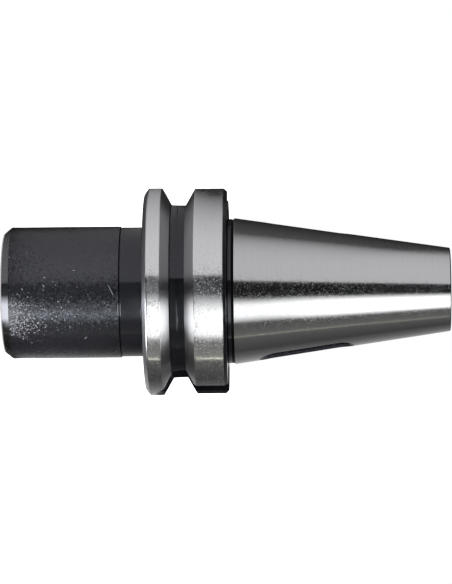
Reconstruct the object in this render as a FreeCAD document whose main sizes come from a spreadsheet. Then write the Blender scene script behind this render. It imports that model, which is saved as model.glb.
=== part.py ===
"""Steep-taper to Morse-taper reducing sleeve, turned and milled from one steel bar.

The sleeve stands on its nose: the nose face is at height zero, its axis is +Z and the steep taper points up.
The two drive keyways and the drift slot open along the X axis.
Going up the axis: bevelled nose, neck, flange with the gripper groove, grinding relief, 7:24 taper.
"""

import FreeCAD, Part

import math
import os

import Sketcher
from FreeCAD import Vector

NODE = "sleeve_body"
START_INDEX = 1
END_INDEX = 2
CENTRE_INDEX = 3
ORIGIN = (-1, 1)
ACROSS_INDEX = -1
UP_INDEX = -2
FULL_TURN = 360.0
SAME = 1e-4

# Driving sizes in millimetres, and angles in degrees: name, value, what it measures.
# The Morse socket fixes where the drift slot is, and the gauge plane comes just before the slot's near end,
# so that the tool stands out of the spindle as little as it can.
SIZES = [
    ("drift_start", 78.4, "nose face to the near end of the drift slot"),
    ("drift_margin", 8.4, "gauge plane to the near end of the drift slot"),
    ("drift_length", 27.0, "drift slot, end to end"),
    ("drift_width", 8.3, "drift slot across"),
    ("drift_bevel", 0.9, "bevel round the drift slot's mouths"),
    ("nose_diameter", 40.0, "front cylinder"),
    ("nose_bevel_length", 2.5, "nose bevel, along the axis"),
    ("nose_bevel_depth", 2.1, "nose bevel, across the axis"),
    ("neck_step", 0.3, "nose down to the neck, on the radius"),
    ("neck_length", 7.4, "neck between nose and flange"),
    ("neck_fillet", 0.8, "radius where the neck meets the flange"),
    ("flange_diameter", 63.0, "lands of the flange"),
    ("flange_front", 27.0, "gauge plane to the flange's front face"),
    ("flange_gap", 2.0, "gauge plane to the flange's rear face"),
    ("front_bevel_length", 1.05, "front edge of the flange, along the axis"),
    ("front_bevel_depth", 1.9, "front edge of the flange, across the axis"),
    ("rear_bevel", 0.95, "rear edge of the flange, both ways"),
    ("gripper_offset", 16.6, "gauge plane to the middle of the gripper groove"),
    ("gripper_width", 10.0, "gripper groove across its mouth"),
    ("gripper_depth", 5.0, "gripper groove, land to floor"),
    ("gripper_angle", 60.0, "angle between the groove's flanks"),
    ("keyway_width", 16.1, "drive keyway across"),
    ("keyway_floor", 22.6, "axis to the keyway's floor"),
    ("keyway_wall", 4.0, "flange's front face to the keyway's round end"),
    ("keyway_bevel", 1.1, "bevel round the keyways' mouths"),
    ("gauge_diameter", 44.45, "steep taper at the gauge plane"),
    ("relief_depth", 0.425, "grinding relief under the gauge diameter, on the radius"),
    ("steep_fall", 7.0, "steep taper: this much off the diameter"),
    ("steep_run", 24.0, "steep taper: over this much length"),
    ("steep_length", 65.4, "gauge plane to the small end"),
    ("small_end_radius", 0.7, "rounded edge of the small end"),
    ("socket_diameter", 23.825, "Morse socket at its mouth"),
    ("socket_fall", 1.0, "Morse socket: this much off the diameter"),
    ("socket_run", 19.922, "Morse socket: over this much length"),
    ("socket_mouth_bevel", 1.0, "bevel round the socket's mouth"),
    ("socket_clearance", 6.2, "end of the Morse taper to the near end of the drift slot"),
    ("socket_overrun", 5.6, "plain bore past the near end of the drift slot"),
    ("drill_point_angle", 118.0, "point left by the drills"),
    ("stud_pilot_diameter", 17.0, "pilot bore for the pull stud"),
    ("stud_pilot_depth", 9.0, "pilot bore's length from the small end"),
    ("stud_mouth_bevel", 1.0, "bevel round the pilot bore's mouth"),
    ("stud_core_diameter", 14.0, "core of the M16 thread"),
    ("stud_overrun", 2.0, "threaded bore past the far end of the drift slot"),
]

# Heights and radii that follow from the driving sizes, as expressions.
AXIS = "0"
NOSE_FACE = "0"
DRIFT_END = "(Sizes.drift_start + Sizes.drift_length)"
GAUGE_PLANE = "(Sizes.drift_start - Sizes.drift_margin)"
FRONT_FACE = f"({GAUGE_PLANE} - Sizes.flange_front)"
REAR_FACE = f"({GAUGE_PLANE} - Sizes.flange_gap)"
SMALL_END = f"({GAUGE_PLANE} + Sizes.steep_length)"
NOSE_STEP = f"({FRONT_FACE} - Sizes.neck_length)"
NOSE_RADIUS = "Sizes.nose_diameter / 2"
NECK_RADIUS = f"({NOSE_RADIUS} - Sizes.neck_step)"
FLANGE_RADIUS = "Sizes.flange_diameter / 2"
GAUGE_RADIUS = "Sizes.gauge_diameter / 2"
RELIEF_RADIUS = f"({GAUGE_RADIUS} - Sizes.relief_depth)"
STEEP_SLOPE = "Sizes.steep_fall / (2 * Sizes.steep_run)"
SMALL_END_RADIUS = f"({GAUGE_RADIUS} - Sizes.steep_length * {STEEP_SLOPE})"


def add_sizes(doc):
    """The spreadsheet that every feature below reads."""
    sheet = doc.addObject("Spreadsheet::Sheet", "Sizes")
    for row, (name, value, meaning) in enumerate(SIZES, start=1):
        sheet.set(f"A{row}", meaning)
        sheet.set(f"B{row}", str(value))
        sheet.setAlias(f"B{row}", name)
    doc.recompute()
    return sheet


def amount(sheet, expression):
    """The present value of an expression, in millimetres or degrees."""
    found = sheet.evalExpression(expression)
    return float(getattr(found, "Value", found))


def origin_part(body, role):
    """One of the body's own origin planes or axes."""
    return next(p for p in body.Origin.OriginFeatures if p.Role == role)


def new_sketch(body, name, plane_role):
    """An empty sketch on one of the body's own origin planes."""
    sketch = body.newObject("Sketcher::SketchObject", name)
    sketch.AttachmentSupport = (origin_part(body, plane_role), [""])
    sketch.MapMode = "FlatFace"
    return sketch


def place_point(sketch, sheet, point, across, up):
    """Ties a sketch point to two expressions, its distances from the origin along both sketch axes."""
    for kind, axis, expression in (("DistanceX", UP_INDEX, across), ("DistanceY", ACROSS_INDEX, up)):
        distance = amount(sheet, expression)
        if abs(distance) < SAME:
            sketch.addConstraint(Sketcher.Constraint("PointOnObject", *point, axis))
            continue
        row = sketch.addConstraint(Sketcher.Constraint(kind, *ORIGIN, *point, distance))
        sketch.setExpression(f"Constraints[{row}]", expression)


def draw_half_section(sketch, sheet, corners):
    """A closed outline of straight lines through corners given as (radius, height) expressions."""
    spots = [Vector(amount(sheet, radius), amount(sheet, height), 0) for radius, height in corners]
    lines = []
    for number, start in enumerate(spots):
        end = spots[(number + 1) % len(spots)]
        lines.append(sketch.addGeometry(Part.LineSegment(start, end), False))
    for number, line in enumerate(lines):
        after = lines[(number + 1) % len(lines)]
        sketch.addConstraint(Sketcher.Constraint("Coincident", line, END_INDEX, after, START_INDEX))
    for line, (radius, height) in zip(lines, corners):
        place_point(sketch, sheet, (line, START_INDEX), radius, height)


def draw_slot(sketch, sheet, width, low, high, round_top):
    """A slot upright on the sketch's up axis, round at its low end, and round or square at its high end."""
    half = amount(sheet, width) / 2
    bottom_centre = Vector(0, amount(sheet, low) + half, 0)
    top = amount(sheet, high) - (half if round_top else 0)
    bottom = sketch.addGeometry(
        Part.ArcOfCircle(Part.Circle(bottom_centre, Vector(0, 0, 1), half), math.pi, 2 * math.pi), False
    )
    right = sketch.addGeometry(Part.LineSegment(Vector(half, bottom_centre.y, 0), Vector(half, top, 0)), False)
    if round_top:
        cap = sketch.addGeometry(
            Part.ArcOfCircle(Part.Circle(Vector(0, top, 0), Vector(0, 0, 1), half), 0, math.pi), False
        )
    else:
        cap = sketch.addGeometry(Part.LineSegment(Vector(half, top, 0), Vector(-half, top, 0)), False)
    left = sketch.addGeometry(Part.LineSegment(Vector(-half, top, 0), Vector(-half, bottom_centre.y, 0)), False)
    sketch.addConstraint(Sketcher.Constraint("Tangent", bottom, END_INDEX, right, START_INDEX))
    sketch.addConstraint(Sketcher.Constraint("Tangent", left, END_INDEX, bottom, START_INDEX))
    place_point(sketch, sheet, (bottom, CENTRE_INDEX), AXIS, f"{low} + {width} / 2")
    row = sketch.addConstraint(Sketcher.Constraint("Radius", bottom, half))
    sketch.setExpression(f"Constraints[{row}]", f"{width} / 2")
    if round_top:
        sketch.addConstraint(Sketcher.Constraint("Tangent", right, END_INDEX, cap, START_INDEX))
        sketch.addConstraint(Sketcher.Constraint("Tangent", cap, END_INDEX, left, START_INDEX))
        place_point(sketch, sheet, (cap, CENTRE_INDEX), AXIS, f"{high} - {width} / 2")
    else:
        sketch.addConstraint(Sketcher.Constraint("Coincident", right, END_INDEX, cap, START_INDEX))
        sketch.addConstraint(Sketcher.Constraint("Coincident", cap, END_INDEX, left, START_INDEX))
        sketch.addConstraint(Sketcher.Constraint("Vertical", right))
        sketch.addConstraint(Sketcher.Constraint("Horizontal", cap))
        row = sketch.addConstraint(Sketcher.Constraint("DistanceY", *ORIGIN, right, END_INDEX, top))
        sketch.setExpression(f"Constraints[{row}]", high)


def turn(body, sheet, kind, name, corners):
    """A revolved solid, or a revolved cut, from a half section on the XZ plane."""
    sketch = new_sketch(body, name + "Section", "XZ_Plane")
    draw_half_section(sketch, sheet, corners)
    feature = body.newObject(kind, name)
    feature.Profile = sketch
    feature.ReferenceAxis = (sketch, ["V_Axis"])
    feature.Angle = FULL_TURN
    body.Document.recompute()
    return feature


def ring_edges(sheet, shape, radius, height):
    """Names of the round edges about the axis that have this radius, at this height."""
    radius = amount(sheet, radius)
    height = amount(sheet, height)
    names = []
    for number, edge in enumerate(shape.Edges, start=1):
        curve = edge.Curve
        if curve.TypeId != "Part::GeomCircle" or abs(curve.Radius - radius) > SAME:
            continue
        if abs(curve.Center.z - height) < SAME and math.hypot(curve.Center.x, curve.Center.y) < SAME:
            names.append(f"Edge{number}")
    return names


def turn_blank(body, sheet):
    """The outside, still without a bore, a groove in the flange or a bevel on its rear edge."""
    return turn(body, sheet, "PartDesign::Revolution", "TurnedBlank", [
        (AXIS, NOSE_FACE),
        (f"{NOSE_RADIUS} - Sizes.nose_bevel_depth", NOSE_FACE),
        (NOSE_RADIUS, "Sizes.nose_bevel_length"),
        (NOSE_RADIUS, NOSE_STEP),
        (NECK_RADIUS, NOSE_STEP),
        (NECK_RADIUS, FRONT_FACE),
        (f"{FLANGE_RADIUS} - Sizes.front_bevel_depth", FRONT_FACE),
        (FLANGE_RADIUS, f"{FRONT_FACE} + Sizes.front_bevel_length"),
        (FLANGE_RADIUS, REAR_FACE),
        (RELIEF_RADIUS, REAR_FACE),
        (RELIEF_RADIUS, GAUGE_PLANE),
        (GAUGE_RADIUS, GAUGE_PLANE),
        (SMALL_END_RADIUS, SMALL_END),
        (AXIS, SMALL_END),
    ])


def round_turned_corners(body, sheet, blank):
    """The tool radius at the foot of the flange, and the rounded rim of the small end."""
    foot = body.newObject("PartDesign::Fillet", "NeckFillet")
    foot.Base = (blank, ring_edges(sheet, blank.Shape, NECK_RADIUS, FRONT_FACE))
    foot.setExpression("Radius", "Sizes.neck_fillet")
    body.Document.recompute()

    rim = body.newObject("PartDesign::Fillet", "SmallEndRim")
    rim.Base = (foot, ring_edges(sheet, foot.Shape, SMALL_END_RADIUS, SMALL_END))
    rim.setExpression("Radius", "Sizes.small_end_radius")
    body.Document.recompute()
    return rim


def cut_gripper_groove(body, sheet):
    """The V groove with a flat floor that a tool changer's fingers hold."""
    middle = f"{GAUGE_PLANE} - Sizes.gripper_offset"
    floor = f"{FLANGE_RADIUS} - Sizes.gripper_depth"
    run = "Sizes.gripper_depth * tan(Sizes.gripper_angle * 1 deg / 2)"
    mouth = "Sizes.gripper_width / 2"
    return turn(body, sheet, "PartDesign::Groove", "GripperGroove", [
        (FLANGE_RADIUS, f"{middle} - {mouth}"),
        (floor, f"{middle} - {mouth} + {run}"),
        (floor, f"{middle} + {mouth} - {run}"),
        (FLANGE_RADIUS, f"{middle} + {mouth}"),
    ])


def bevel_rear_edge(body, sheet):
    """The bevel round the rear edge of the flange, which runs into the keyways' own bevels."""
    return turn(body, sheet, "PartDesign::Groove", "RearBevel", [
        (FLANGE_RADIUS, f"{REAR_FACE} - Sizes.rear_bevel"),
        (f"{FLANGE_RADIUS} - Sizes.rear_bevel", REAR_FACE),
        (FLANGE_RADIUS, REAR_FACE),
    ])


def bore_morse_socket(body, sheet):
    """The Morse socket: bevelled mouth, ground taper, plain bore past the taper, drill point."""
    mouth = "Sizes.socket_diameter / 2"
    slope = "Sizes.socket_fall / (2 * Sizes.socket_run)"
    taper_end = "(Sizes.drift_start - Sizes.socket_clearance)"
    bore_end = "(Sizes.drift_start + Sizes.socket_overrun)"
    bevelled = f"({mouth} - Sizes.socket_mouth_bevel * {slope})"
    end = f"({mouth} - {taper_end} * {slope})"
    return turn(body, sheet, "PartDesign::Groove", "MorseSocket", [
        (AXIS, NOSE_FACE),
        (f"{bevelled} + Sizes.socket_mouth_bevel", NOSE_FACE),
        (bevelled, "Sizes.socket_mouth_bevel"),
        (end, taper_end),
        (end, bore_end),
        (AXIS, f"{bore_end} + {end} / tan(Sizes.drill_point_angle * 1 deg / 2)"),
    ])


def bore_stud_hole(body, sheet):
    """The pull stud's hole in the small end: bevel, pilot bore, thread core that breaks into the drift slot."""
    pilot = "Sizes.stud_pilot_diameter / 2"
    core = "Sizes.stud_core_diameter / 2"
    core_end = f"({DRIFT_END} - Sizes.stud_overrun)"
    tip = f"{core_end} - {core} / tan(Sizes.drill_point_angle * 1 deg / 2)"
    step = f"{SMALL_END} - Sizes.stud_pilot_depth"
    return turn(body, sheet, "PartDesign::Groove", "StudHole", [
        (AXIS, SMALL_END),
        (AXIS, tip),
        (core, core_end),
        (core, f"{step} - ({pilot} - {core})"),
        (pilot, step),
        (pilot, f"{SMALL_END} - Sizes.stud_mouth_bevel"),
        (f"{pilot} + Sizes.stud_mouth_bevel", SMALL_END),
    ])


def mill_drift_slot(body, sheet):
    """The slot right through the taper, where a drift wedge knocks the Morse shank out by its tang."""
    sketch = new_sketch(body, "DriftSlotOutline", "YZ_Plane")
    draw_slot(sketch, sheet, "Sizes.drift_width", "Sizes.drift_start", DRIFT_END, round_top=True)
    slot = body.newObject("PartDesign::Pocket", "DriftSlot")
    slot.Profile = sketch
    slot.Type = "ThroughAll"
    slot.Midplane = True
    body.Document.recompute()

    bevel = body.newObject("PartDesign::Chamfer", "DriftSlotBevel")
    bevel.Base = (slot, drift_mouth_edges(sheet, slot.Shape))
    bevel.setExpression("Size", "Sizes.drift_bevel")
    body.Document.recompute()
    return bevel


def drift_mouth_edges(sheet, shape):
    """Names of the edges where the drift slot's walls meet the steep taper."""
    low = amount(sheet, "Sizes.drift_start")
    high = amount(sheet, DRIFT_END)
    gauge_plane = amount(sheet, GAUGE_PLANE)
    gauge_radius = amount(sheet, GAUGE_RADIUS)
    slope = amount(sheet, STEEP_SLOPE)
    names = []
    for number, edge in enumerate(shape.Edges, start=1):
        middle = edge.valueAt((edge.FirstParameter + edge.LastParameter) / 2)
        taper_radius = gauge_radius - (middle.z - gauge_plane) * slope
        on_taper = abs(math.hypot(middle.x, middle.y) - taper_radius) < SAME
        if on_taper and low - SAME < middle.z < high + SAME:
            names.append(f"Edge{number}")
    return names


def mill_keyways(body, sheet):
    """Two drive keyways, open at the flange's rear face and round where the end mill stopped in the front ring."""
    sketch = new_sketch(body, "KeywayOutline", "YZ_Plane")
    end = f"{FRONT_FACE} + Sizes.keyway_wall"
    draw_slot(sketch, sheet, "Sizes.keyway_width", end, GAUGE_PLANE, round_top=False)
    sketch.setExpression("AttachmentOffset.Base.z", "Sizes.keyway_floor")
    keyway = body.newObject("PartDesign::Pocket", "Keyway")
    keyway.Profile = sketch
    keyway.Type = "ThroughAll"
    keyway.Reversed = True
    body.Document.recompute()
    pair = body.newObject("PartDesign::PolarPattern", "KeywayPair")
    pair.Originals = [keyway]
    pair.Axis = (origin_part(body, "Z_Axis"), [""])
    pair.Angle = FULL_TURN
    pair.Occurrences = 2
    body.Tip = pair
    body.Document.recompute()

    bevel = body.newObject("PartDesign::Chamfer", "KeywayBevel")
    bevel.Base = (pair, keyway_mouth_edges(sheet, pair.Shape))
    bevel.setExpression("Size", "Sizes.keyway_bevel")
    body.Tip = bevel
    body.Document.recompute()
    return bevel


def keyway_mouth_edges(sheet, shape):
    """Names of the edges where the keyways' walls meet the outside of the flange."""
    crest = amount(sheet, FLANGE_RADIUS)
    half_width = amount(sheet, "Sizes.keyway_width / 2")
    names = []
    for number, edge in enumerate(shape.Edges, start=1):
        middle = edge.valueAt((edge.FirstParameter + edge.LastParameter) / 2)
        on_crest = abs(math.hypot(middle.x, middle.y) - crest) < SAME
        is_ring = edge.BoundBox.ZLength < SAME
        if on_crest and not is_ring and abs(middle.y) < half_width + SAME:
            names.append(f"Edge{number}")
    return names


def build():
    """The whole sleeve. The flange's keyways come before its groove, so that one bevel runs round each mouth."""
    doc = FreeCAD.newDocument("ReducingSleeve")
    sheet = add_sizes(doc)
    body = doc.addObject("PartDesign::Body", "SleeveBody")
    body.Label = NODE
    blank = turn_blank(body, sheet)
    round_turned_corners(body, sheet, blank)
    mill_keyways(body, sheet)
    cut_gripper_groove(body, sheet)
    bevel_rear_edge(body, sheet)
    bore_morse_socket(body, sheet)
    bore_stud_hole(body, sheet)
    mill_drift_slot(body, sheet)
    return doc, body


def check(doc, body):
    """Stops on any failed feature, and on a body that isn't one sound solid."""
    for thing in doc.Objects:
        if "Invalid" in thing.State or "Error" in thing.State:
            raise RuntimeError(f"{thing.Name} failed: {thing.State}")
    shape = body.Shape
    if shape.isNull() or not shape.isValid() or len(shape.Solids) != 1:
        raise RuntimeError(f"{body.Label} isn't one valid solid")


doc, body = build()
check(doc, body)
os.makedirs("parts", exist_ok=True)
body.Shape.exportStep(f"parts/{body.Label}.step")
print(f"{body.Label}: {body.Shape.Volume:.0f} cubic mm, {body.Shape.BoundBox}")
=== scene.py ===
"""Looks of a reducing sleeve: 7:24 steep taper outside, Morse taper socket inside.

The sleeve stands on its nose with its axis along +Z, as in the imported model, and the camera is rolled over
so that the picture shows it lying down. The sleeve's lengths are millimetres until its mesh is
finished, and the camera's and the studio's are metres.
"""
import math

import bmesh
import bpy
from mathutils import Matrix, Vector


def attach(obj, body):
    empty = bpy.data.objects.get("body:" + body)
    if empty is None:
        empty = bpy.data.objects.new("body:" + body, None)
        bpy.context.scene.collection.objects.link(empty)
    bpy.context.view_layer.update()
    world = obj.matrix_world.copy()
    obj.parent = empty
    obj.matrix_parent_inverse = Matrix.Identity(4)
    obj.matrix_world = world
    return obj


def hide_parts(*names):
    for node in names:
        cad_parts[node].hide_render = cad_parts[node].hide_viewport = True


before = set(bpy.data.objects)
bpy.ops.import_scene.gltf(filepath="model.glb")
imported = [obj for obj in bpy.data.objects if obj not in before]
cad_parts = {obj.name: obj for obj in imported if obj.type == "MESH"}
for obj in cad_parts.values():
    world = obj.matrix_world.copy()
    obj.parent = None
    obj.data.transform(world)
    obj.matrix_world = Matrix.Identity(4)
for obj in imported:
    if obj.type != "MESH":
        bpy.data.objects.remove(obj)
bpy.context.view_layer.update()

# The turned blank. One hardened steel bar, turned all over, then ground on the flange's lands and the taper.
# Its half section runs from the tip of the Morse bore, round the nose, flange and taper, to the stud's bore.
# The rings just beside each rounding keep the long faces flat.
METRE = 0.001
TURN_STEPS = 256
FULL_TURN = 2 * math.pi

nose_radius = 20.0
nose_bevel_length = 2.5
nose_bevel_depth = 2.1
neck_radius = 19.7
nose_step = 35.6
step_groove_radius = 19.55
step_groove_width = 0.3
flange_radius = 31.5
flange_front = 42.95
flange_rear = 68.12
front_bevel_length = 1.32
front_bevel_depth = 1.9
rear_bevel = 1.0
groove_middle = 53.4
groove_half_mouth = 5.0
groove_floor_radius = 26.5
groove_slope = math.tan(math.radians(30))
groove_half_floor = groove_half_mouth - 5.0 * groove_slope
foot_height = 0.6
ridge_depth = 0.04
corner_run = 0.05
nose_hold = 0.3
neck_hold = 1.0
bevel_hold = 0.4
land_hold = 0.25
relief_radius = 22.0
undercut_radius = 21.9
undercut_width = 0.62
foot_undercut_width = 0.25
gauge_plane = 70.0
taper_start = 70.12
gauge_radius = 22.225
taper_slope = 7 / 48
small_end = 135.55
small_end_radius = gauge_radius - (small_end - gauge_plane) * taper_slope
socket_mouth_radius = 11.9125
socket_slope = 1 / (2 * 19.922)
socket_taper_end = 72.2
socket_end = 84.0
socket_end_radius = socket_mouth_radius - socket_taper_end * socket_slope
drill_point_slope = math.tan(math.radians(59))
stud_pilot_radius = 8.5
stud_pilot_end = 126.4
stud_core_radius = 7.0
stud_core_end = 103.4

bore_outline = [
    (0, socket_end + socket_end_radius / drill_point_slope),
    (socket_end_radius, socket_end),
    (socket_end_radius, socket_taper_end),
    (socket_mouth_radius, 1.0),
    (socket_mouth_radius + 1.0, 0),
]
outer_outline = [
    (nose_radius - nose_bevel_depth, 0),
    (nose_radius, nose_bevel_length),
    (nose_radius, nose_bevel_length + nose_hold),
    (nose_radius, nose_step),
    (step_groove_radius, nose_step + corner_run),
    (step_groove_radius, nose_step + step_groove_width),
    (neck_radius, nose_step + step_groove_width + corner_run),
    (neck_radius, flange_front - neck_hold),
    (neck_radius, flange_front),
    (flange_radius - front_bevel_depth, flange_front),
    (flange_radius, flange_front + front_bevel_length),
    (flange_radius, flange_front + front_bevel_length + bevel_hold),
    (flange_radius, groove_middle - groove_half_mouth - land_hold),
    (flange_radius, groove_middle - groove_half_mouth),
    (groove_floor_radius + foot_height, groove_middle - groove_half_floor - foot_height * groove_slope),
    (groove_floor_radius, groove_middle - groove_half_floor),
    (groove_floor_radius, groove_middle - groove_half_floor + land_hold),
    (groove_floor_radius, groove_middle - 0.35),
    (groove_floor_radius, groove_middle - 0.2),
    (groove_floor_radius - ridge_depth, groove_middle - 0.05),
    (groove_floor_radius, groove_middle + 0.1),
    (groove_floor_radius, groove_middle + 0.25),
    (groove_floor_radius, groove_middle + groove_half_floor - land_hold),
    (groove_floor_radius, groove_middle + groove_half_floor),
    (flange_radius, groove_middle + groove_half_mouth),
    (flange_radius, groove_middle + groove_half_mouth + land_hold),
    (flange_radius, flange_rear - rear_bevel - land_hold),
    (flange_radius, flange_rear - rear_bevel),
    (flange_radius - rear_bevel, flange_rear),
    (undercut_radius, flange_rear),
    (undercut_radius, flange_rear + foot_undercut_width),
    (relief_radius, flange_rear + foot_undercut_width + corner_run),
    (relief_radius, gauge_plane - undercut_width - corner_run),
    (undercut_radius, gauge_plane - undercut_width),
    (undercut_radius, taper_start),
    (gauge_radius, taper_start),
    (small_end_radius, small_end),
]
stud_outline = [
    (stud_pilot_radius + 1.0, small_end),
    (stud_pilot_radius, small_end - 1.0),
    (stud_pilot_radius, stud_pilot_end),
    (stud_core_radius, stud_pilot_end - (stud_pilot_radius - stud_core_radius)),
    (stud_core_radius, stud_core_end),
    (0, stud_core_end - stud_core_radius / drill_point_slope),
]


def spin_outline(outline):
    """A closed turned body from a half section that starts and ends on the axis."""
    bm = bmesh.new()
    corners = [bm.verts.new((radius, 0, height)) for radius, height in outline]
    edges = [bm.edges.new(pair) for pair in zip(corners, corners[1:])]
    bmesh.ops.spin(bm, geom=corners + edges, cent=(0, 0, 0), axis=(0, 0, 1), dvec=(0, 0, 0),
                   angle=FULL_TURN, steps=TURN_STEPS, use_merge=True)
    bmesh.ops.remove_doubles(bm, verts=bm.verts, dist=0.0001)
    bmesh.ops.recalc_face_normals(bm, faces=bm.faces)
    return bm


def ring(bm, radius, height):
    """The edges of the turned ring at this radius and height."""
    reach = 0.01

    def on_ring(vert):
        return abs(vert.co.xy.length - radius) < reach and abs(vert.co.z - height) < reach
    return [edge for edge in bm.edges if on_ring(edge.verts[0]) and on_ring(edge.verts[1])]


def round_ring(bm, radius, height, width, segments):
    """Rounds one turned corner, as a file or a tool's nose leaves it."""
    bmesh.ops.bevel(bm, geom=ring(bm, radius, height), offset=width, offset_type="OFFSET", affect="EDGES",
                    segments=segments, profile=0.5, material=-1, clamp_overlap=True)


sleeve = spin_outline(bore_outline + outer_outline + stud_outline)
neck_fillet = 0.8
small_end_rounding = 0.35
front_bevel_rounding = 0.3
edge_rounding = 0.14
round_ring(sleeve, neck_radius, flange_front, neck_fillet, 4)
round_ring(sleeve, small_end_radius, small_end, small_end_rounding, 4)
round_ring(sleeve, flange_radius - front_bevel_depth, flange_front, front_bevel_rounding, 3)
round_ring(sleeve, flange_radius, flange_front + front_bevel_length, front_bevel_rounding, 3)
for radius, height in (
    (nose_radius - nose_bevel_depth, 0),
    (nose_radius, nose_bevel_length),
    (nose_radius, nose_step),
    (flange_radius, groove_middle - groove_half_mouth),
    (flange_radius, groove_middle + groove_half_mouth),
    (flange_radius, flange_rear - rear_bevel),
    (flange_radius - rear_bevel, flange_rear),
    (gauge_radius, taper_start),
    (socket_mouth_radius + 1.0, 0),
    (socket_mouth_radius, 1.0),
    (stud_pilot_radius + 1.0, small_end),
    (stud_pilot_radius, small_end - 1.0),
):
    round_ring(sleeve, radius, height, edge_rounding, 2)

# The finishes. Black oxide covers the nose, the necks, every slot and every bore that isn't ground.
# In the groove, the relief, the rear bevel and the keyways it is darker, with painted shade, and in three
# narrow undercuts it is painted near black as shade. Bare steel is ground on the lands, the groove's flanks,
# the taper and the Morse socket, or turned on the bevels.
OXIDE, NECK, RECESS_SHADE, CREVICE_SHADE, FLANGE, FLANK, TAPER, NOSE_BEVEL, FRONT_BEVEL, SOCKET = range(10)
room = 0.02


def is_near(value, low, high):
    """Whether value lies between two limits, with a little room."""
    return low - room < value < high + room


def crevice_at(radius, height):
    """Whether this place is in one of the three narrow undercuts, which are painted near black as shade."""
    step_groove = is_near(height, nose_step + 0.03, nose_step + step_groove_width)
    gauge_undercut = is_near(height, gauge_plane - undercut_width - corner_run, taper_start - 0.05)
    foot_undercut = is_near(height, flange_rear + 0.03, flange_rear + foot_undercut_width)
    return (step_groove and radius > step_groove_radius - room
            or gauge_undercut and radius > undercut_radius - room
            or foot_undercut and undercut_radius - room < radius < relief_radius)


def finish_of(face):
    """The finish of one face of the turned blank, from its place and its slope."""
    middle = face.calc_center_median()
    radius = middle.xy.length
    height = middle.z
    outward = (face.normal.x * middle.x + face.normal.y * middle.y) / max(radius, 0.001)
    on_taper = abs(radius - gauge_radius + (height - gauge_plane) * taper_slope) < 0.15
    in_front_bevel = is_near(height, flange_front, flange_front + front_bevel_length)
    on_neck = is_near(height, nose_step + step_groove_width + corner_run, flange_front)
    if outward > 0.9 and on_taper and is_near(height, gauge_plane, small_end - small_end_rounding):
        return TAPER
    if radius > flange_radius - 0.2 and outward > 0.8 and height < flange_rear - rear_bevel:
        return FLANGE
    if is_near(height, groove_middle - groove_half_mouth, groove_middle + groove_half_mouth):
        # The left flank's lowest 0.6 mm takes the dark recess finish: painted shade at the groove's foot.
        foot = foot_height if height < groove_middle else 0
        return FLANK if radius > groove_floor_radius + foot + room else RECESS_SHADE
    if in_front_bevel and radius > flange_radius - front_bevel_depth:
        return FRONT_BEVEL
    if height < nose_bevel_length and radius > nose_radius - nose_bevel_depth:
        return NOSE_BEVEL
    if crevice_at(radius, height):
        return CREVICE_SHADE
    # The relief takes the dark recess finish, oxide with painted shade.
    if is_near(height, flange_rear, gauge_plane) and relief_radius - room < radius < gauge_radius:
        return RECESS_SHADE
    if on_neck and radius > neck_radius - room:
        return NECK
    # The rear bevel takes the dark recess finish, oxide with painted shade.
    if is_near(height, flange_rear - rear_bevel, flange_rear) and radius > undercut_radius:
        return RECESS_SHADE
    if outward < -0.9 and height < socket_taper_end and radius > socket_end_radius - 0.01:
        return SOCKET
    return OXIDE


for face in sleeve.faces:
    face.material_index = finish_of(face)


def add_mesh(name, bm, materials):
    """A finished object in metres, with its place in its mesh."""
    bm.transform(Matrix.Scale(METRE, 4))
    mesh = bpy.data.meshes.new(name)
    bm.to_mesh(mesh)
    bm.free()
    for material in materials:
        mesh.materials.append(material)
    made = bpy.data.objects.new(name, mesh)
    bpy.context.scene.collection.objects.link(made)
    return made


def new_material(name):
    """A node material, its nodes and links, and its surface shader."""
    material = bpy.data.materials.new(name)
    material.use_nodes = True
    tree = material.node_tree
    return material, tree.nodes, tree.links, tree.nodes["Principled BSDF"]


def turned_coordinates(nodes, links, around, across):
    """Object coordinates drawn out along the turning marks, with the radius as a fourth number."""
    place = nodes.new("ShaderNodeTexCoord")
    stretch = nodes.new("ShaderNodeMapping")
    stretch.inputs["Scale"].default_value = (around, around, across)
    links.new(place.outputs["Object"], stretch.inputs["Vector"])
    flat = nodes.new("ShaderNodeVectorMath")
    flat.operation = "MULTIPLY"
    flat.inputs[1].default_value = (across, across, 0)
    links.new(place.outputs["Object"], flat.inputs[0])
    radius = nodes.new("ShaderNodeVectorMath")
    radius.operation = "LENGTH"
    links.new(flat.outputs[0], radius.inputs[0])
    return stretch.outputs["Vector"], radius.outputs["Value"]


def turned_noise(nodes, links, around, across):
    """Noise in fine lines round the axis. The two numbers are lines per metre, round the part and across."""
    vector, radius = turned_coordinates(nodes, links, around, across)
    noise = nodes.new("ShaderNodeTexNoise")
    noise.noise_dimensions = "4D"
    noise.inputs["Scale"].default_value = 1.0
    noise.inputs["Detail"].default_value = 2
    links.new(vector, noise.inputs["Vector"])
    links.new(radius, noise.inputs["W"])
    return noise.outputs["Fac"]


def grain(nodes, links, per_metre, detail):
    """Even noise in all directions."""
    place = nodes.new("ShaderNodeTexCoord")
    noise = nodes.new("ShaderNodeTexNoise")
    noise.inputs["Scale"].default_value = per_metre
    noise.inputs["Detail"].default_value = detail
    links.new(place.outputs["Object"], noise.inputs["Vector"])
    return noise.outputs["Fac"]


def spread(nodes, links, value, low, high, to_low, to_high):
    """Value drawn out from one range to another, and held inside it."""
    span = nodes.new("ShaderNodeMapRange")
    span.inputs["From Min"].default_value = low
    span.inputs["From Max"].default_value = high
    span.inputs["To Min"].default_value = to_low
    span.inputs["To Max"].default_value = to_high
    links.new(value, span.inputs["Value"])
    return span.outputs["Result"]


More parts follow.
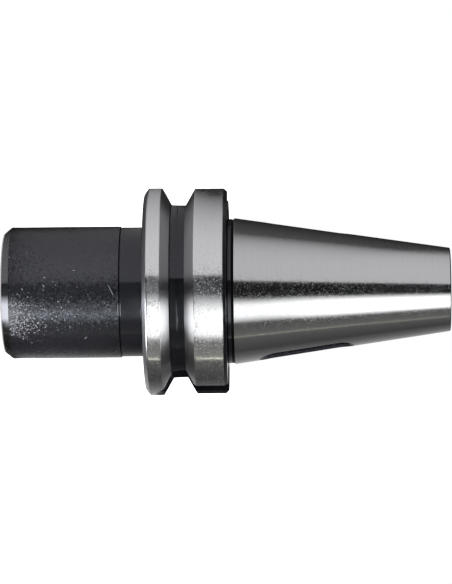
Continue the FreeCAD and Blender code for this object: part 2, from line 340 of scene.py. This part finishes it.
def add_bump(nodes, links, height, distance, under):
    """A bump of this height in metres, over the normal under it."""
    bump = nodes.new("ShaderNodeBump")
    bump.inputs["Strength"].default_value = 1.0
    bump.inputs["Distance"].default_value = distance
    links.new(height, bump.inputs["Height"])
    links.new(under, bump.inputs["Normal"])
    return bump.outputs["Normal"]


facets_per_metre = 3200
rough_share_power = 3


def facet_cells(nodes, links):
    """A random colour in each of the fine grain's cells."""
    place = nodes.new("ShaderNodeTexCoord")
    cells = nodes.new("ShaderNodeTexVoronoi")
    cells.inputs["Scale"].default_value = facets_per_metre
    links.new(place.outputs["Object"], cells.inputs["Vector"])
    return cells.outputs["Color"]


def facet_roughness(nodes, links, cells, smoothest, roughest):
    """Most of the grain is smooth, and a little of it is rough."""
    parts = nodes.new("ShaderNodeSeparateColor")
    links.new(cells, parts.inputs["Color"])
    power = nodes.new("ShaderNodeMath")
    power.operation = "POWER"
    power.inputs[1].default_value = rough_share_power
    links.new(parts.outputs["Blue"], power.inputs[0])
    return spread(nodes, links, power.outputs["Value"], 0, 1, smoothest, roughest)


def facet_normal(nodes, links, cells, tilt):
    """A normal that leans its own way in each cell, mostly a little and now and then a lot."""
    lean = nodes.new("ShaderNodeVectorMath")
    lean.operation = "SUBTRACT"
    lean.inputs[1].default_value = (0.5, 0.5, 0.5)
    links.new(cells, lean.inputs[0])
    square = nodes.new("ShaderNodeVectorMath")
    square.operation = "DOT_PRODUCT"
    links.new(lean.outputs[0], square.inputs[0])
    links.new(lean.outputs[0], square.inputs[1])
    weight = nodes.new("ShaderNodeMath")
    weight.operation = "MULTIPLY"
    weight.inputs[1].default_value = tilt
    links.new(square.outputs["Value"], weight.inputs[0])
    leaning = nodes.new("ShaderNodeVectorMath")
    leaning.operation = "SCALE"
    links.new(lean.outputs[0], leaning.inputs[0])
    links.new(weight.outputs["Value"], leaning.inputs["Scale"])
    surface = nodes.new("ShaderNodeNewGeometry")
    total = nodes.new("ShaderNodeVectorMath")
    total.operation = "ADD"
    links.new(surface.outputs["Normal"], total.inputs[0])
    links.new(leaning.outputs[0], total.inputs[1])
    unit = nodes.new("ShaderNodeVectorMath")
    unit.operation = "NORMALIZE"
    links.new(total.outputs[0], unit.inputs[0])
    return unit.outputs[0]


def specks(nodes, links, per_metre, size, share):
    """1 inside small round specks, one in some of the cells of a random pattern."""
    place = nodes.new("ShaderNodeTexCoord")
    cells = nodes.new("ShaderNodeTexVoronoi")
    cells.inputs["Scale"].default_value = per_metre
    links.new(place.outputs["Object"], cells.inputs["Vector"])
    chosen = nodes.new("ShaderNodeSeparateColor")
    links.new(cells.outputs["Color"], chosen.inputs["Color"])
    picked = spread(nodes, links, chosen.outputs["Red"], 1 - share, 1 - share + 0.01, 0, 1)
    round_speck = spread(nodes, links, cells.outputs["Distance"], 0.3 * size, size, 1, 0)
    both = nodes.new("ShaderNodeMath")
    both.operation = "MULTIPLY"
    links.new(picked, both.inputs[0])
    links.new(round_speck, both.inputs[1])
    return both.outputs["Value"]


ground_line_height = 0.000002


def metal(name, color, smoothest, roughest, tilt, stretch=0.0, turn=0.0):
    """Bare steel. A stretched grain scatters light round the part, or along it with a quarter of a turn."""
    material, nodes, links, shader = new_material(name)
    shader.inputs["Metallic"].default_value = 1.0
    shader.inputs["Anisotropic"].default_value = stretch
    shader.inputs["Anisotropic Rotation"].default_value = turn
    round_axis = nodes.new("ShaderNodeTangent")
    round_axis.direction_type = "RADIAL"
    round_axis.axis = "Z"
    links.new(round_axis.outputs["Tangent"], shader.inputs["Tangent"])
    cells = facet_cells(nodes, links)
    links.new(facet_roughness(nodes, links, cells, smoothest, roughest), shader.inputs["Roughness"])
    tone = nodes.new("ShaderNodeMix")
    tone.data_type = "RGBA"
    tone.inputs["A"].default_value = (*[0.94 * c for c in color], 1)
    tone.inputs["B"].default_value = (*[1.04 * c for c in color], 1)
    links.new(turned_noise(nodes, links, 120, 3500), tone.inputs["Factor"])
    links.new(tone.outputs["Result"], shader.inputs["Base Color"])
    facets = facet_normal(nodes, links, cells, tilt)
    lines = add_bump(nodes, links, turned_noise(nodes, links, 250, 4500), ground_line_height, facets)
    links.new(lines, shader.inputs["Normal"])
    return material


def unrolled_nose(nodes, links):
    """Places on the nose laid flat, in metres: round from the front, and up from the nose's face."""
    place = nodes.new("ShaderNodeTexCoord")
    turn = nodes.new("ShaderNodeMapping")
    turn.inputs["Rotation"].default_value = (0, 0, math.radians(90) - camera_turn)
    links.new(place.outputs["Object"], turn.inputs["Vector"])
    parts = nodes.new("ShaderNodeSeparateXYZ")
    links.new(turn.outputs["Vector"], parts.inputs["Vector"])
    angle = nodes.new("ShaderNodeMath")
    angle.operation = "ARCTAN2"
    links.new(parts.outputs["Y"], angle.inputs[0])
    links.new(parts.outputs["X"], angle.inputs[1])
    around = nodes.new("ShaderNodeMath")
    around.operation = "MULTIPLY"
    around.inputs[1].default_value = nose_radius * METRE
    links.new(angle.outputs["Value"], around.inputs[0])
    flat = nodes.new("ShaderNodeCombineXYZ")
    links.new(around.outputs["Value"], flat.inputs["X"])
    links.new(parts.outputs["Z"], flat.inputs["Y"])
    return flat.outputs["Vector"]


def scratch(nodes, links, flat, height, degrees, length, tilt):
    """1 inside a short mark on the nose. Sizes in millimetres, tilt in degrees from the turning marks."""
    frame_of_mark = nodes.new("ShaderNodeMapping")
    frame_of_mark.vector_type = "TEXTURE"
    middle = (math.radians(degrees) * nose_radius * METRE, height * METRE, 0)
    frame_of_mark.inputs["Location"].default_value = middle
    frame_of_mark.inputs["Rotation"].default_value = (0, 0, math.radians(tilt))
    frame_of_mark.inputs["Scale"].default_value = (length * METRE / 2, scratch_width * METRE / 2, 1)
    links.new(flat, frame_of_mark.inputs["Vector"])
    reach = nodes.new("ShaderNodeVectorMath")
    reach.operation = "LENGTH"
    links.new(frame_of_mark.outputs["Vector"], reach.inputs[0])
    return spread(nodes, links, reach.outputs["Value"], 0.6, 1.0, 1, 0)


def larger(nodes, links, first, second):
    """The larger of two values."""
    choice = nodes.new("ShaderNodeMath")
    choice.operation = "MAXIMUM"
    links.new(first, choice.inputs[0])
    links.new(second, choice.inputs[1])
    return choice.outputs["Value"]


# Marks rubbed through the nose's oxide, and two light lines painted as highlights on the step groove's
# edges.
# Each has its height, its degrees round from the front, its length and its tilt.
scratch_width = 0.25
nose_scratches_and_glints = (
    (33.4, -1.5, 4.6, 27),
    (13.2, -6.0, 1.4, 32),
    (6.8, -3.1, 0.9, 45),
    (13.5, -13.2, 0.8, 65),
    (22.3, -19.4, 0.9, 88),
    (8.0, -37.0, 0.7, 20),
    (16.8, -6.5, 0.5, 40),
    (20.7, 7.8, 0.8, 40),
    (17.5, 7.6, 0.4, 10),
    (31.5, 9.0, 0.6, 25),
    (25.5, 43.0, 1.2, -45),
    (32.3, 26.7, 0.5, 5),
    # Painted highlights: two light lines on the step groove's edges, where the lamp's highlight falls.
    (35.48, 16.0, 5.2, 0),
    (36.12, 16.0, 5.2, 0),
)


def oxide(name, tone_low, tone_high, specular_level, smoothest, roughest, line_height, tilt):
    """Black oxide on turned or milled steel: satin, fine grained, rubbed bare in specks and scratches, and
    with two painted highlights by the nose's step.
    """
    material, nodes, links, shader = new_material(name)
    shader.inputs["Metallic"].default_value = 0.0
    shader.inputs["IOR"].default_value = 1.58
    shader.inputs["Specular IOR Level"].default_value = specular_level
    shader.inputs["Specular Tint"].default_value = (0.96, 0.98, 1.06, 1)
    cells = facet_cells(nodes, links)
    links.new(facet_roughness(nodes, links, cells, smoothest, roughest), shader.inputs["Roughness"])
    tone = nodes.new("ShaderNodeMix")
    tone.data_type = "RGBA"
    tone.inputs["A"].default_value = (tone_low, tone_low, 1.25 * tone_low, 1)
    tone.inputs["B"].default_value = (tone_high, tone_high, 1.25 * tone_high, 1)
    links.new(grain(nodes, links, 1800, 3), tone.inputs["Factor"])
    worn_and_glints = specks(nodes, links, 520, 0.08, 0.2)
    flat = unrolled_nose(nodes, links)
    for mark in nose_scratches_and_glints:
        worn_and_glints = larger(nodes, links, worn_and_glints, scratch(nodes, links, flat, *mark))
    bare = nodes.new("ShaderNodeMix")
    bare.data_type = "RGBA"
    bare.inputs["B"].default_value = (0.42, 0.43, 0.45, 1)
    links.new(worn_and_glints, bare.inputs["Factor"])
    links.new(tone.outputs["Result"], bare.inputs["A"])
    links.new(bare.outputs["Result"], shader.inputs["Base Color"])
    facets = facet_normal(nodes, links, cells, tilt)
    lines = add_bump(nodes, links, turned_noise(nodes, links, 300, 3500), line_height, facets)
    links.new(lines, shader.inputs["Normal"])
    return material


# The camera looks from 9 degrees round from -Y, and the nose's marks are placed from there.
camera_turn = math.radians(9)
black_oxide = oxide("black_oxide", tone_low=0.014, tone_high=0.020, specular_level=0.5, smoothest=0.11,
                    roughest=0.25, line_height=0.000002, tilt=0.8)
neck_oxide = oxide("neck_oxide", tone_low=0.017, tone_high=0.023, specular_level=0.34, smoothest=0.08,
                   roughest=0.10, line_height=0.0000003, tilt=0.05)
# Oxide in the recesses, painted darker than the nose's as shade where the flanks and flange hide the light.
recess_oxide_and_shade = oxide("recess_oxide_and_shade", tone_low=0.004, tone_high=0.008, specular_level=0.38, smoothest=0.04,
                     roughest=0.05, line_height=0.00000005, tilt=0.01)
# The three narrow undercuts are painted near black: painted shade in their corners.
crevice_painted_shade = oxide("crevice_painted_shade", tone_low=0.001, tone_high=0.002, specular_level=0.05,
                      smoothest=0.4, roughest=0.5, line_height=0.000002, tilt=0.2)
ground_flange = metal("ground_flange", (0.56, 0.555, 0.56), smoothest=0.045, roughest=0.25, tilt=0.03,
                      stretch=1.0, turn=0.0)
ground_flank = metal("ground_flank", (0.45, 0.45, 0.46), smoothest=0.35, roughest=0.39, tilt=0.1,
                     stretch=1.0, turn=0.25)
ground_taper = metal("ground_taper", (0.56, 0.555, 0.56), smoothest=0.056, roughest=0.15, tilt=0.03,
                     stretch=1.0, turn=0.0)
nose_bevel_steel = metal("nose_bevel_steel", (0.40, 0.40, 0.41), smoothest=0.22, roughest=0.28, tilt=0.1)
front_bevel_steel = metal("front_bevel_steel", (0.55, 0.55, 0.57), smoothest=0.30, roughest=0.34,
                          tilt=0.1)
ground_socket = metal("ground_socket", (0.52, 0.51, 0.51), smoothest=0.24, roughest=0.32, tilt=0.1)
FINISHES = [
    black_oxide,
    neck_oxide,
    recess_oxide_and_shade,
    crevice_painted_shade,
    ground_flange,
    ground_flank,
    ground_taper,
    nose_bevel_steel,
    front_bevel_steel,
    ground_socket,
]

# The cuts. An end mill cuts two drive keyways and the drift slot, and a burr bevels their mouths.
# A tap cuts the pull stud's thread. Each cut is a cutter's own shape, taken out of the blank.
OUTLINE_STEPS = 96


def slot_loop(bm, half_width, low, high, depth_at):
    """The edges of a slot's upright outline. depth_at gives the x of a point at (y, z)."""
    half_step = math.pi / OUTLINE_STEPS
    circle = bmesh.ops.create_circle(bm, segments=OUTLINE_STEPS, radius=half_width / math.cos(half_step),
                                     matrix=Matrix.Rotation(half_step, 4, "Z"))
    verts = circle["verts"]
    bmesh.ops.rotate(bm, verts=verts, cent=(0, 0, 0), matrix=Matrix.Rotation(math.pi / 2, 3, "X"))
    bmesh.ops.rotate(bm, verts=verts, cent=(0, 0, 0), matrix=Matrix.Rotation(math.pi / 2, 3, "Z"))
    for vert in verts:
        vert.co.z += high if vert.co.z > 0 else low
        vert.co.x = depth_at(vert.co.y, vert.co.z)
    return [edge for edge in bm.edges if edge.verts[0] in verts and edge.verts[1] in verts]


def slot_cutter(half_width, low, high, sections):
    """A slot-shaped cutter along X. Each section is how far it is widened, and its depth function."""
    bm = bmesh.new()
    loops = [slot_loop(bm, half_width + widened, low, high, depth_at) for widened, depth_at in sections]
    for first, second in zip(loops, loops[1:]):
        bmesh.ops.bridge_loops(bm, edges=first + second)
    bmesh.ops.holes_fill(bm, edges=bm.edges)
    bmesh.ops.recalc_face_normals(bm, faces=bm.faces)
    return bm


def surface_x(radius, y):
    """Where a round surface of this radius is, at this y."""
    return math.sqrt(max(radius * radius - y * y, 0))


def cut(piece, bm, material):
    """Takes a cutter's shape out of the piece. The cut faces keep the cutter's finish."""
    cutter = add_mesh("cutter", bm, [material])
    difference = piece.modifiers.new("cut", "BOOLEAN")
    difference.operation = "DIFFERENCE"
    difference.solver = "EXACT"
    difference.material_mode = "TRANSFER"
    difference.object = cutter
    bpy.context.view_layer.update()
    cut_mesh = bpy.data.meshes.new_from_object(piece.evaluated_get(bpy.context.evaluated_depsgraph_get()))
    piece.modifiers.clear()
    piece.data = cut_mesh
    bpy.data.objects.remove(cutter)


sleeve_piece = add_mesh("sleeve_steel", sleeve, FINISHES)

keyway_half_width = 8.05
keyway_floor = 22.6
keyway_tip = 47.0
keyway_past_flange = 85.0
keyway_bevel = 1.1
mouth_spare = 0.6
cap_spare = 2.0
for side in (1, -1):
    keyway = slot_cutter(keyway_half_width, keyway_tip + keyway_half_width, keyway_past_flange, [
        (0, lambda y, z: keyway_floor),
        (0, lambda y, z: surface_x(flange_radius, y) - keyway_bevel),
        (keyway_bevel + mouth_spare, lambda y, z: surface_x(flange_radius, y) + mouth_spare),
        (keyway_bevel + mouth_spare, lambda y, z: flange_radius + cap_spare),
    ])
    if side < 0:
        bmesh.ops.rotate(keyway, verts=keyway.verts, cent=(0, 0, 0), matrix=Matrix.Rotation(math.pi, 3, "Z"))
    # The keyways' walls take the dark recess finish, oxide with painted shade.
    cut(sleeve_piece, keyway, recess_oxide_and_shade)

drift_half_width = 4.15
drift_start = 78.4
drift_end = 105.4
drift_bevel = 0.9


def taper_x(y, z):
    """Where the steep taper's surface is, at this y and height."""
    return surface_x(gauge_radius - (z - gauge_plane) * taper_slope, y)


drift_slot = slot_cutter(drift_half_width, drift_start + drift_half_width, drift_end - drift_half_width, [
    (drift_bevel + mouth_spare, lambda y, z: -gauge_radius - cap_spare),
    (drift_bevel + mouth_spare, lambda y, z: -taper_x(y, z) - mouth_spare),
    (0, lambda y, z: -taper_x(y, z) + drift_bevel),
    (0, lambda y, z: taper_x(y, z) - drift_bevel),
    (drift_bevel + mouth_spare, lambda y, z: taper_x(y, z) + mouth_spare),
    (drift_bevel + mouth_spare, lambda y, z: gauge_radius + cap_spare),
])
cut(sleeve_piece, drift_slot, black_oxide)

thread_pitch = 2.0
thread_radius = 8.0
thread_steps = 36
thread_turns = 12
tooth_root = stud_core_radius - 0.3
tooth_half_root = 0.9
tooth_half_tip = 0.12
tap = bmesh.new()
tap_tooth = [tap.verts.new(corner) for corner in (
    (tooth_root, 0, stud_core_end - tooth_half_root),
    (thread_radius, 0, stud_core_end - tooth_half_tip),
    (thread_radius, 0, stud_core_end + tooth_half_tip),
    (tooth_root, 0, stud_core_end + tooth_half_root),
)]
tap_face = tap.faces.new(tap_tooth)
bmesh.ops.spin(tap, geom=tap_tooth + list(tap.edges) + [tap_face], cent=(0, 0, 0), axis=(0, 0, 1),
               dvec=(0, 0, thread_pitch / thread_steps), angle=FULL_TURN * thread_turns,
               steps=thread_steps * thread_turns)
bmesh.ops.holes_fill(tap, edges=tap.edges)
bmesh.ops.recalc_face_normals(tap, faces=tap.faces)
cut(sleeve_piece, tap, black_oxide)

sleeve_piece.data.shade_smooth()
sharpest_smooth_angle = math.radians(33)
sleeve_piece.data.set_sharp_from_angle(angle=sharpest_smooth_angle)
even_shading = sleeve_piece.modifiers.new("even_shading", "WEIGHTED_NORMAL")
even_shading.keep_sharp = True
even_shading.weight = 90
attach(sleeve_piece, "root")
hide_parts("sleeve_body")

# The camera. It stands level with the sleeve's middle and is rolled a quarter turn, so the axis lies across
# the picture. Its place comes from fitting the solid's edges to the photograph's.
camera_pitch = 0.0251
camera_roll = -0.0085
camera_distance = 1.1083
camera_height = 0.0952247
camera_drop = 0.00024
camera_lens = 224.46
toward_camera = Vector((math.sin(camera_turn), -math.cos(camera_turn), 0))
picture_up = Vector((-math.cos(camera_turn), -math.sin(camera_turn), 0))
along_axis = Vector((0, 0, 1))
look = -toward_camera * math.cos(camera_pitch) - along_axis * math.sin(camera_pitch)
level_right = along_axis * math.cos(camera_pitch) - toward_camera * math.sin(camera_pitch)
right = level_right * math.cos(camera_roll) + picture_up * math.sin(camera_roll)
up = picture_up * math.cos(camera_roll) - level_right * math.sin(camera_roll)
camera_data = bpy.data.cameras.new("camera")
camera_data.lens = camera_lens
camera_data.sensor_width = 36
camera_data.sensor_fit = "AUTO"
camera = bpy.data.objects.new("camera", camera_data)
camera_place = Matrix((right, up, -look)).transposed().to_4x4()
camera_spot = toward_camera * camera_distance + along_axis * camera_height - picture_up * camera_drop
camera_place.translation = camera_spot
camera.matrix_world = camera_place
bpy.context.scene.collection.objects.link(camera)
bpy.context.scene.camera = camera

# The studio. A white floor and a white world, with a tent of pale and dark cloth round the part, which the
# camera looks through. A strip light and cards hang in it, and give bare steel its bright and dark bands.
TENT_RADIUS = 0.32
TENT_HEIGHT = 0.60
CLOTH_STEPS = 720
CLOTH_LIFT = 0.0001
BACK_CLOTH = (0.022, 0.026, 0.030)
CARD_TINT = (1.0, 0.995, 1.015)
LAMP_TINT = (0.985, 1.0, 1.0)
LOW_LAMP_TINT = (0.92, 1.0, 1.06)
NEAR_LAMP_TINT = (1.02, 1.0, 0.975)
NOSE_LAMP_TINT = (0.95, 0.97, 1.04)
GAP_TINT = (0.93, 1.0, 1.03)
WARM_TINT = (1.0, 1.005, 0.97)
LINE_TINT = (1.0, 1.01, 0.84)
PLAIN_TINT = (1.0, 1.0, 1.0)


def between(share, low, high):
    """A value some share of the way from low to high, and no further than either."""
    return low + (high - low) * min(max(share, 0), 1)


def hang(glow, cover, level, tint):
    """What shows once a cloth of this brightness and tint covers this share of what was there."""
    return [old + (level * part - old) * cover for old, part in zip(glow, tint)]


def strip(angle, upper, lower, upper_soft, lower_soft):
    """1 between two angles, with each edge spread over its own softness, in degrees."""
    below_upper = (upper - angle) / upper_soft + 0.5
    above_lower = (angle - lower) / lower_soft + 0.5
    return between(below_upper, 0, 1) * between(above_lower, 0, 1)


def along(place, *points):
    """A value that changes with a height or a distance, in straight runs between its points."""
    for (low, low_value), (high, high_value) in zip(points, points[1:]):
        if place < high:
            return between((place - low) / (high - low), low_value, high_value)
    return points[-1][1]


def hang_card(angle, height, distance):
    """The back cloth, a pale card from in front of the part to above it, and a dark gap beside the card."""
    near_card = along(distance, (0.03, 0.25), (0.054, 0.25), (0.066, 1))
    reach = along(height, (0.012, 132), (0.033, 157), (0.055, 114), (0.115, 86), (0.18, 91), (0.20, 112),
                  (0.23, 126))
    curve = along(height, (0.05, 2), (0.115, 4))
    brightest = along(height, (0.035, 0.99), (0.06, 0.96), (0.115, 0.75), (0.16, 0.77), (0.19, 0.78))
    fade = 1 - (max(angle - 20, 0) / reach) ** curve
    card = max(brightest * fade, between((150 - angle) / 40, 0.03, 0.10)) * near_card
    card_edge = along(height, (0.115, 16.5), (0.23, 14))
    glow = hang(BACK_CLOTH, strip(angle, 179, card_edge, 1, 2), card, CARD_TINT)

    gap_top = along(height, (0, 0.04), (0.025, 0.10), (0.033, 0.20), (0.05, 0.065), (0.11, 0.012))
    gap_foot = along(height, (0, 0.09), (0.025, 0.16), (0.033, 0.30), (0.05, 0.14), (0.11, 0.018))
    gap = between((14 - angle) / 18, gap_top, gap_foot)
    return hang(glow, strip(angle, card_edge, -30, 2, 1), gap, GAP_TINT)


def lamp_ends(height, distance):
    """The strip lamp's upper edge and its foot, in degrees from the camera."""
    if height > 0:
        edge = along(height, (0.012, -24), (0.03, -11), (0.06, -13), (0.155, -17), (0.18, -15.5),
                     (0.3, -15.5), (0.4, -18))
        foot = along(height, (0.02, -50), (0.035, -51), (0.06, -51), (0.155, -45.5), (0.18, -49.5),
                     (0.3, -53), (0.4, -94))
        return edge, foot
    edge = along(distance, (0.025, -12), (0.037, -17), (0.045, -15), (0.06, -15), (0.085, -24))
    foot = along(distance, (0.03, -50), (0.037, -62), (0.043, -95), (0.058, -93), (0.07, -50))
    return edge, foot


def lamp_tint(height, distance):
    """The strip lamp's colour: cooler low down and at the nose, and a little warmer just past the nose."""
    part_tint = [along(height, (0.012, low), (0.03, part)) for low, part in zip(LOW_LAMP_TINT, LAMP_TINT)]
    return [along(distance, (0.03, at_nose), (0.06, further), (0.12, part))
            for at_nose, further, part in zip(NOSE_LAMP_TINT, NEAR_LAMP_TINT, part_tint)]


def hang_lamp(glow, angle, height, distance):
    """The strip lamp beside the gap, with a brighter core low down."""
    edge, foot = lamp_ends(height, distance)
    edge_soft = along(height, (0.012, 16), (0.03, 20), (0.06, 20), (0.115, 13))
    foot_soft = along(height, (0.3, 13), (0.4, 6))
    level = along(height, (0.012, 1.5), (0.018, 0.45), (0.027, 0.45), (0.0305, 2.6), (0.0365, 2.6),
                  (0.038, 0.45), (0.046, 0.45), (0.048, 2.1), (0.08, 2.2), (0.115, 1.85), (0.16, 1.9),
                  (0.19, 2.6), (0.32, 2.6), (0.42, 32))
    share = along(distance, (0.02, 1.2), (0.037, 2.8), (0.045, 7), (0.056, 7), (0.064, 1.3), (0.12, 1.0))
    tint = lamp_tint(height, distance)
    glow = hang(glow, strip(angle, edge, foot, edge_soft, foot_soft), level * share, tint)
    core_share = along(height, (0.012, 1), (0.018, 0)) * along(distance, (0.06, 0), (0.085, 1))
    return hang(glow, strip(angle, -34, -41, 5, 5) * core_share, 5.0, tint)


def hang_low_light(glow, angle, height, distance):
    """Light thrown on the cloth past the lamp, a thin bright line, and two cards from there to the back."""
    near_floor = along(distance, (0.054, 0.2), (0.066, 1))
    line = along(height, (0.18, -76.5), (0.23, -82))
    bounce_top = min(-52, lamp_ends(height, distance)[1])
    bounce = between((-56 - angle) / 20, along(height, (0.06, 0.24), (0.115, 0.12)),
                     along(height, (0.06, 0.33), (0.115, 0.20)))
    glow = hang(glow, strip(angle, bounce_top, line, 8, 1), bounce * near_floor, WARM_TINT)
    if height > 0:
        line_level = along(height, (0.027, 0.5), (0.0305, 1.6), (0.0365, 1.6), (0.038, 0.2), (0.046, 0.2),
                           (0.048, 1.6), (0.06, 1.6), (0.115, 0.5))
    else:
        line_level = along(distance, (0.06, 0.1), (0.085, 1.0))
    glow = hang(glow, strip(angle, line + 1.5, line - 1.0, 0.8, 0.8), line_level, LINE_TINT)
    low_card = between((line - angle) / 30, along(height, (0.06, 0.155), (0.115, 0.15)), 0.08)
    glow = hang(glow, strip(angle, line - 1.0, -112, 0.8, 8), low_card * near_floor, PLAIN_TINT)
    floor_card = between((-120 - angle) / 55, 0.14, along(height, (0.06, 0.70), (0.115, 0.60), (0.23, 0.4)))
    return hang(glow, strip(angle, -112, -179.9, 8, 0.1), floor_card * near_floor, PLAIN_TINT)


def tent_glow(angle, height, distance):
    """The tent's light at an angle from the camera, upward in the picture, at a height and a distance."""
    glow = hang_card(angle, height, distance)
    glow = hang_lamp(glow, angle, height, distance)
    return hang_low_light(glow, angle, height, distance)


def angle_from_camera(place):
    """A point's direction from the axis, in degrees from the camera, upward in the picture."""
    return math.degrees(math.atan2(place.dot(picture_up), place.dot(toward_camera)))


tent_cloth = bpy.data.materials.new("tent_cloth")
tent_cloth.use_nodes = True
nodes, links = tent_cloth.node_tree.nodes, tent_cloth.node_tree.links
nodes.clear()
glow = nodes.new("ShaderNodeAttribute")
glow.attribute_name = "glow"
light = nodes.new("ShaderNodeEmission")
links.new(glow.outputs["Color"], light.inputs["Color"])
output = nodes.new("ShaderNodeOutputMaterial")
links.new(light.outputs["Emission"], output.inputs["Surface"])


def hang_cloth(name, outline, glow_at):
    """A turned sheet of cloth that the camera looks through, with its own light at each point."""
    bm = bmesh.new()
    points = [bm.verts.new((radius, 0, height)) for radius, height in outline]
    edges = [bm.edges.new(pair) for pair in zip(points, points[1:])]
    bmesh.ops.spin(bm, geom=points + edges, cent=(0, 0, 0), axis=(0, 0, 1), dvec=(0, 0, 0),
                   angle=FULL_TURN, steps=CLOTH_STEPS, use_merge=True)
    bmesh.ops.remove_doubles(bm, verts=bm.verts, dist=0.00001)
    layer = bm.verts.layers.float_color.new("glow")
    for vert in bm.verts:
        vert[layer] = (*glow_at(vert.co), 1)
    mesh = bpy.data.meshes.new(name)
    bm.to_mesh(mesh)
    bm.free()
    mesh.materials.append(tent_cloth)
    cloth = bpy.data.objects.new(name, mesh)
    bpy.context.scene.collection.objects.link(cloth)
    cloth.visible_camera = False
    return cloth


def wall_glow(place):
    """The wall and the roof. The roof is dark over the part."""
    if place.xy.length < TENT_RADIUS / 2:
        return BACK_CLOTH
    share = between((place.z - 0.32) / 0.1, 1, 0.35)
    glow_here = tent_glow(angle_from_camera(place), max(place.z, CLOTH_LIFT), TENT_RADIUS)
    return [share * part for part in glow_here]


bevel_widening = 0.79


def low_glow(place):
    """What bare steel sees of the floor: the tent's light at height 0, its angles widened near the part."""
    distance = place.xy.length
    mirrored = angle_from_camera(place) * 2 / (2 - bevel_widening * nose_radius * METRE / distance)
    return tent_glow(min(max(mirrored, -180), 180), 0, distance)


LOW_RADII = (0.0182, 0.025, 0.03, 0.037, 0.045, 0.052, 0.056, 0.06, 0.064, 0.07, 0.085, 0.12, 0.20,
             TENT_RADIUS)
LOW_HEIGHTS = (0, 0.012, 0.018, 0.025, 0.027, 0.03, 0.0305, 0.033, 0.0365, 0.038, 0.046, 0.048, 0.055, 0.06)
HIGH_HEIGHTS = [0.02 * step for step in range(4, 17)] + [0.42, TENT_HEIGHT]
wall_outline = [(TENT_RADIUS, height) for height in (*LOW_HEIGHTS, *HIGH_HEIGHTS)]
roof_outline = [(0.1, TENT_HEIGHT), (0, TENT_HEIGHT)]
hang_cloth("tent_wall", wall_outline + roof_outline, wall_glow)
low_cloth = hang_cloth("low_cloth", [(radius, CLOTH_LIFT) for radius in LOW_RADII], low_glow)
low_cloth.visible_diffuse = False
low_cloth.visible_shadow = False

# The floor. A wide sheet of white paper, a hair below the nose's face.
# The sleeve's own soft shadow falls on it, deepened near the base by painted shade.
FLOOR_DROP = 0.00005
floor_bm = bmesh.new()
bmesh.ops.create_grid(floor_bm, x_segments=1, y_segments=1, size=3)
floor_mesh = bpy.data.meshes.new("floor")
floor_bm.to_mesh(floor_mesh)
floor_bm.free()
floor_mesh.transform(Matrix.Translation((0, 0, -FLOOR_DROP)))
floor = bpy.data.objects.new("floor", floor_mesh)
bpy.context.scene.collection.objects.link(floor)


def seen_ray(nodes, links):
    """1 for a ray that shows the background: from the camera, or off or through a glossy surface."""
    path = nodes.new("ShaderNodeLightPath")
    camera_or_glossy = nodes.new("ShaderNodeMath")
    camera_or_glossy.operation = "MAXIMUM"
    links.new(path.outputs["Is Camera Ray"], camera_or_glossy.inputs[0])
    links.new(path.outputs["Is Glossy Ray"], camera_or_glossy.inputs[1])
    any_of_three = nodes.new("ShaderNodeMath")
    any_of_three.operation = "MAXIMUM"
    links.new(camera_or_glossy.outputs[0], any_of_three.inputs[0])
    links.new(path.outputs["Is Transmission Ray"], any_of_three.inputs[1])
    return any_of_three.outputs[0]


floor_material = bpy.data.materials.new("floor_paper")
floor_material.use_nodes = True
nodes, links = floor_material.node_tree.nodes, floor_material.node_tree.links
paper = nodes["Principled BSDF"]
paper.inputs["Base Color"].default_value = (0.9, 0.9, 0.9, 1)
paper.inputs["Roughness"].default_value = 0.9
paper.inputs["Specular IOR Level"].default_value = 0.0
paper.inputs["Emission Color"].default_value = (1, 1, 1, 1)
floor_place = nodes.new("ShaderNodeTexCoord")
floor_distance = nodes.new("ShaderNodeVectorMath")
floor_distance.operation = "LENGTH"
links.new(floor_place.outputs["Object"], floor_distance.inputs[0])
floor_lift = nodes.new("ShaderNodeMath")
floor_lift.operation = "MULTIPLY"
# The added white glow is weaker within 35 mm of the axis: painted shade round the base.
near_shade = spread(nodes, links, floor_distance.outputs["Value"], 0.02, 0.035, 0.85, 1.0)
links.new(near_shade, floor_lift.inputs[1])
links.new(seen_ray(nodes, links), floor_lift.inputs[0])
links.new(floor_lift.outputs[0], paper.inputs["Emission Strength"])
floor_mesh.materials.append(floor_material)

world = bpy.data.worlds.new("white_room")
bpy.context.scene.world = world
world.use_nodes = True
world.node_tree.nodes["Background"].inputs["Color"].default_value = (1, 1, 1, 1)
world.node_tree.nodes["Background"].inputs["Strength"].default_value = 1.0
bpy.context.scene.view_settings.view_transform = "Standard"
